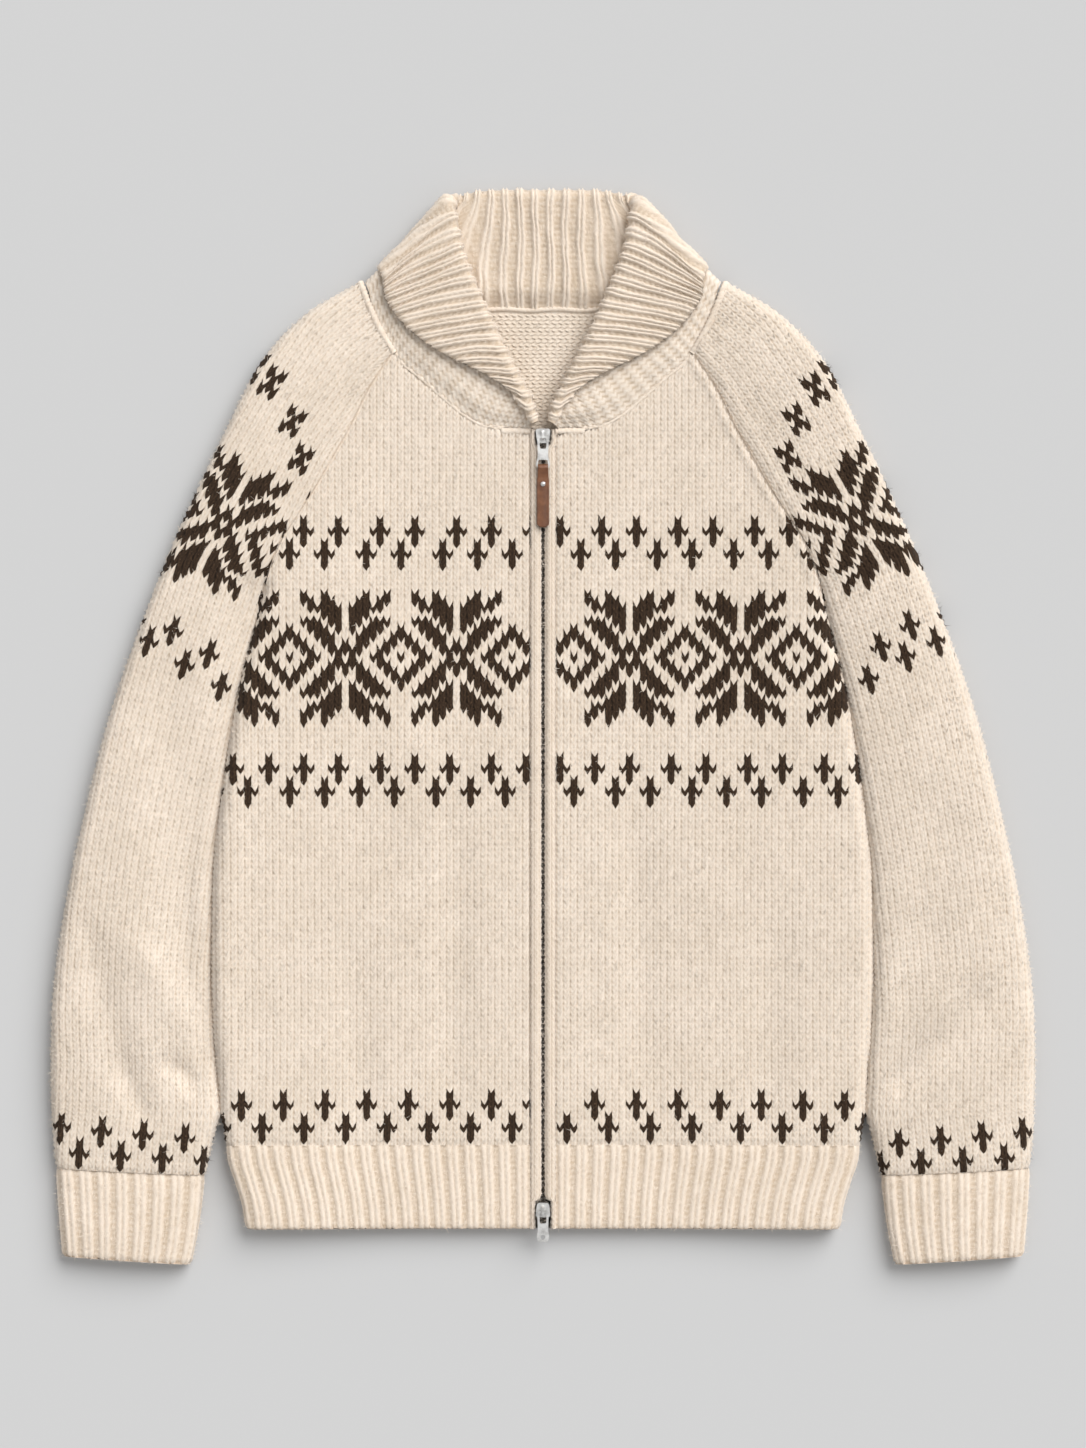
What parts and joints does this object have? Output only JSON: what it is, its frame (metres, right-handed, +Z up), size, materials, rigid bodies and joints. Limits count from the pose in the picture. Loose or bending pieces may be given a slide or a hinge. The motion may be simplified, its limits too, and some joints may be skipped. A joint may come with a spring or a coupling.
{
  "type": "zip-up cardigan",
  "caption": "Zip-up raglan cardigan in heavy brushed knit, laid flat: folded ribbed shawl collar, ribbed cuffs and hem, two-way metal zip with a leather pull tab.",
  "frame": {"origin": "on the surface below, under the middle of the garment's overall box", "axes": "+Y from the hem to the collar, +X to the wearer's left, +Z up from the surface that the back lies on"},
  "size_m": [0.7068, 0.775, 0.0232],
  "materials": {
    "cream_knit": "brushed wool stockinette in cream with dark brown motifs",
    "cream_rib": "brushed wool rib",
    "zip_tape": "woven zip tape",
    "zip_teeth": "dark metal teeth",
    "nickel": "worn nickel",
    "brown_leather": "smooth brown leather"
  },
  "bodies": {
    "garment": {"front_right": "cream_knit", "front_left": "cream_knit", "back": "cream_knit", "sleeve_right": "cream_knit", "sleeve_left": "cream_knit", "cuff_right": "cream_rib", "cuff_left": "cream_rib", "hem_front_right": "cream_rib", "hem_front_left": "cream_rib", "hem_back": "cream_rib", "collar": "cream_rib", "band_right": "cream_rib", "band_left": "cream_rib", "zip_tape_right": "zip_tape", "zip_tape_left": "zip_tape", "zip_chain": "zip_teeth", "top_slider": "nickel", "bottom_slider": "nickel"},
    "top_pull": {"top_pull": "nickel"},
    "leather_tab": {"leather_tab": "brown_leather", "tab_rivet": "nickel"},
    "bottom_pull": {"bottom_pull": "nickel"}
  },
  "joints": [
    {"name": "top_pull_swing", "type": "hinge", "parent": "garment", "child": "top_pull", "pos_m": [0, 0.2076, 0.0163], "axis": [-1, 0, 0], "range_deg": [0, 120]},
    {"name": "leather_tab_swing", "type": "hinge", "parent": "top_pull", "child": "leather_tab", "pos_m": [0, 0.18535, 0.0163], "axis": [-1, 0, 0], "range_deg": [0, 60]},
    {"name": "bottom_pull_swing", "type": "hinge", "parent": "garment", "child": "bottom_pull", "pos_m": [0, -0.349, 0.0163], "axis": [-1, 0, 0], "range_deg": [0, 150]}
  ]
}
